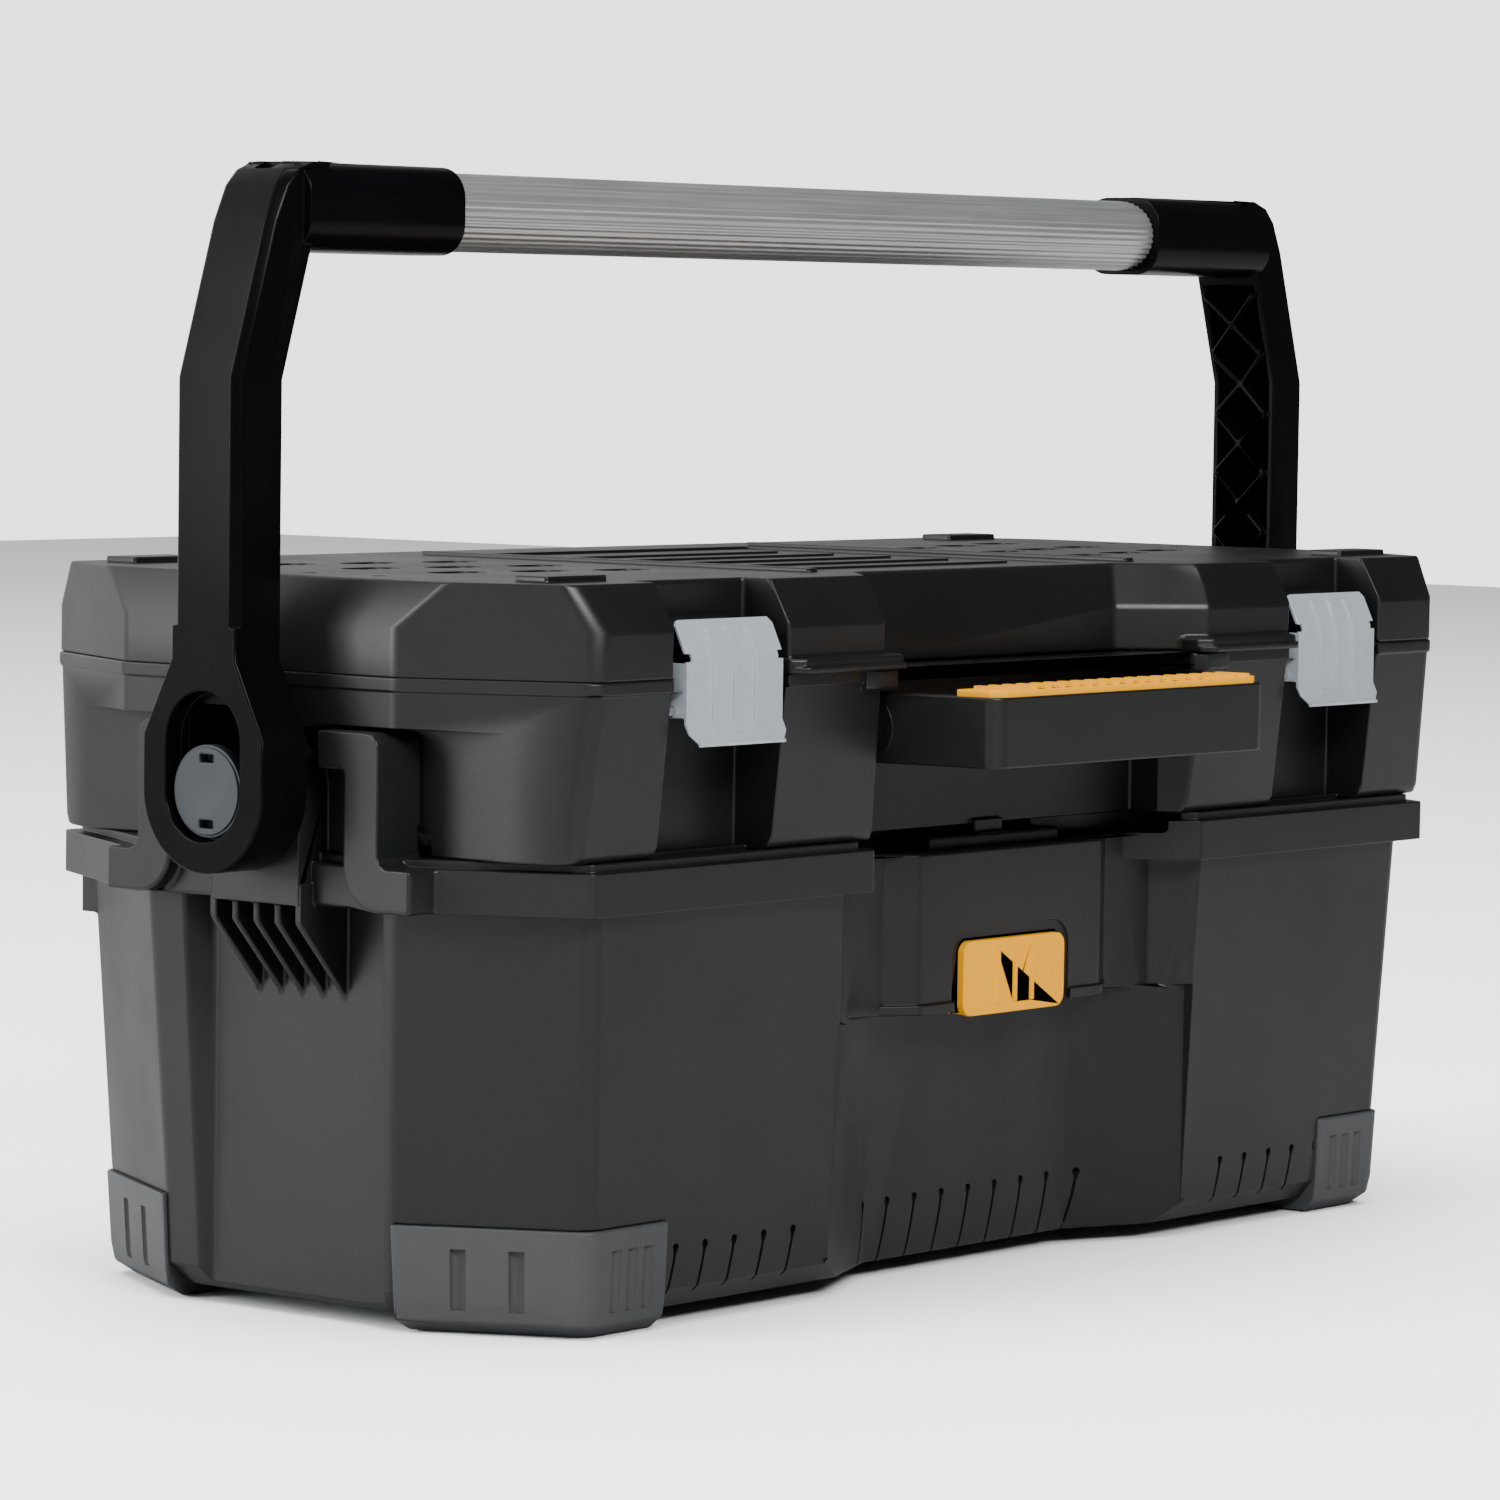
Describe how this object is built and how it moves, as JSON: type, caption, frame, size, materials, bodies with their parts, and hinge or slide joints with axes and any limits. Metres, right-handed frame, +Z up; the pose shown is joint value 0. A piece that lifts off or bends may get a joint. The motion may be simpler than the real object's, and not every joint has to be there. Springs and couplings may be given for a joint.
{
  "type": "toolbox",
  "caption": "Open tote with a folding carry handle, a removable latched case seated in its rim and a lift-out tray below.",
  "frame": {"origin": "on the floor, under the middle of the whole object's footprint", "axes": "+X along the length to the right of a person facing the front, +Y to the rear, +Z up; the front, with the latches and the button, faces -Y"},
  "size_m": [0.68, 0.3255, 0.427],
  "materials": {
    "black_plastic": "fine moulded grain",
    "foot_plastic": "soft satin",
    "slate_plastic": "satin",
    "tray_plastic": "fine moulded grain",
    "latch_steel": "satin blue-grey paint",
    "pin_steel": "bright",
    "bar_aluminium": "satin anodised, fluted",
    "yellow_plastic": "satin"
  },
  "bodies": {
    "tote": {"tub": "black_plastic", "front_left_foot": "foot_plastic", "front_right_foot": "foot_plastic", "rear_left_foot": "foot_plastic", "rear_right_foot": "foot_plastic", "left_pivot_axle": "pin_steel", "right_pivot_axle": "pin_steel", "left_pivot_cap": "slate_plastic", "right_pivot_cap": "slate_plastic", "button_spring": "pin_steel"},
    "button": {"release_button": "yellow_plastic"},
    "tray": {"tray": "tray_plastic"},
    "case": {"case_base": "black_plastic", "left_latch_pin": "pin_steel", "right_latch_pin": "pin_steel", "left_hinge_pin": "pin_steel", "right_hinge_pin": "pin_steel", "left_grip_pin": "pin_steel", "right_grip_pin": "pin_steel"},
    "lid": {"case_lid": "black_plastic"},
    "left_latch": {"left_latch": "latch_steel"},
    "right_latch": {"right_latch": "latch_steel"},
    "front_handle": {"case_handle": "black_plastic", "grip_pad": "yellow_plastic"},
    "pivot_hub": {"left_pivot_bush": "tray_plastic", "right_pivot_bush": "tray_plastic"},
    "slot_shoes": {"left_slot_shoe": "tray_plastic", "right_slot_shoe": "tray_plastic"},
    "carry_handle": {"left_arm": "black_plastic", "right_arm": "black_plastic", "handle_bar": "bar_aluminium", "bar_screws": "pin_steel"}
  },
  "joints": [
    {"name": "handle_fold_back", "type": "hinge", "parent": "tote", "child": "pivot_hub", "pos_m": [0, 0.00925, 0.198], "axis": [-1, 0, 0], "range_deg": [0, 92]},
    {"name": "handle_fold_front", "type": "hinge", "parent": "pivot_hub", "child": "slot_shoes", "pos_m": [0, 0.00925, 0.198], "axis": [-1, 0, 0], "range_deg": [-92, 0]},
    {"name": "handle_drop", "type": "slide", "parent": "slot_shoes", "child": "carry_handle", "axis": [0, 0, 1], "range_m": [-0.018, 0]},
    {"name": "case_lift", "type": "slide", "parent": "tote", "child": "case", "axis": [0, 0, 1], "range_m": [0, 0.1]},
    {"name": "tray_lift", "type": "slide", "parent": "tote", "child": "tray", "axis": [0, 0, 1], "range_m": [0, 0.085]},
    {"name": "lid_hinge", "type": "hinge", "parent": "case", "child": "lid", "pos_m": [0, 0.15775, 0.241], "axis": [-1, 0, 0], "range_deg": [0, 92]},
    {"name": "left_latch_swing", "type": "hinge", "parent": "case", "child": "left_latch", "pos_m": [-0.197, -0.11575, 0.229], "axis": [1, 0, 0], "range_deg": [0, 100]},
    {"name": "right_latch_swing", "type": "hinge", "parent": "case", "child": "right_latch", "pos_m": [0.197, -0.11575, 0.229], "axis": [1, 0, 0], "range_deg": [0, 100]},
    {"name": "front_handle_fold", "type": "hinge", "parent": "case", "child": "front_handle", "pos_m": [0, -0.10425, 0.2175], "axis": [1, 0, 0], "range_deg": [0, 66]},
    {"name": "button_push", "type": "slide", "parent": "tote", "child": "button", "axis": [0, 1, 0], "range_m": [0, 0.004], "stiffness_N_per_m": 600, "deforming": ["button_spring"]}
  ],
  "couplings": [
    {"joint": "lid_hinge", "follows": "handle_fold_back", "ratio": 1},
    {"joint": "tray_lift", "follows": "case_lift", "ratio": 0.85}
  ]
}
